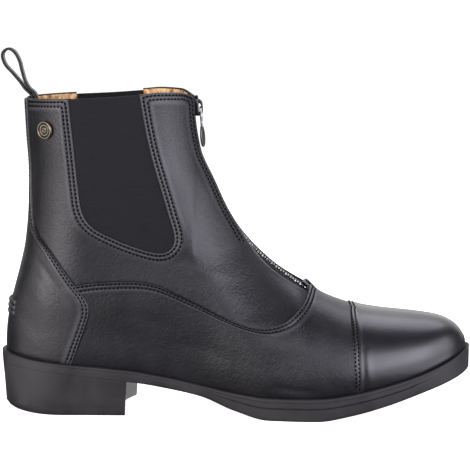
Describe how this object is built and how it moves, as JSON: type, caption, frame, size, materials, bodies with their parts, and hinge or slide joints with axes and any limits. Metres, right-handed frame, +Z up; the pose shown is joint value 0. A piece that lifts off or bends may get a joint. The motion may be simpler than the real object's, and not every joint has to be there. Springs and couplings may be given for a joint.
{
  "type": "front zip ankle boot",
  "caption": "Right ankle boot with a front zip, elastic side gores, capped toe, heel counter, pull loop and a moulded rubber sole with a low heel.",
  "frame": {"origin": "on the floor, under the middle of the boot's length and width", "axes": "+X towards the toe, +Y towards the inner side of the foot, +Z up"},
  "size_m": [0.282, 0.0984, 0.216],
  "materials": {
    "sole_rubber": "matt moulded",
    "leather": "smooth, half gloss",
    "elastic": "ribbed elastic weave",
    "insole": "smooth tan",
    "zip_tape": "woven",
    "zip_metal": "dark plated",
    "stud_metal": "antique"
  },
  "bodies": {
    "boot": {"outsole": "sole_rubber", "heel_block": "sole_rubber", "heel_top_lift": "sole_rubber", "insole": "insole", "upper": "leather", "vamp": "leather", "toe_cap": "leather", "heel_counter": "leather", "spur_rest": "leather", "pull_loop": "leather", "gore_outer": "elastic", "gore_inner": "elastic", "zip_tape": "zip_tape", "zip_chain": "zip_metal", "zip_slider": "zip_metal", "stud": "stud_metal"},
    "zip_pull": {"zip_pull": "zip_metal"}
  },
  "joints": [
    {"name": "zip_pull_swing", "type": "hinge", "parent": "boot", "child": "zip_pull", "pos_m": [-0.02125, 0.0007, 0.18052], "axis": [0, -1, 0], "range_deg": [0, 160]}
  ]
}
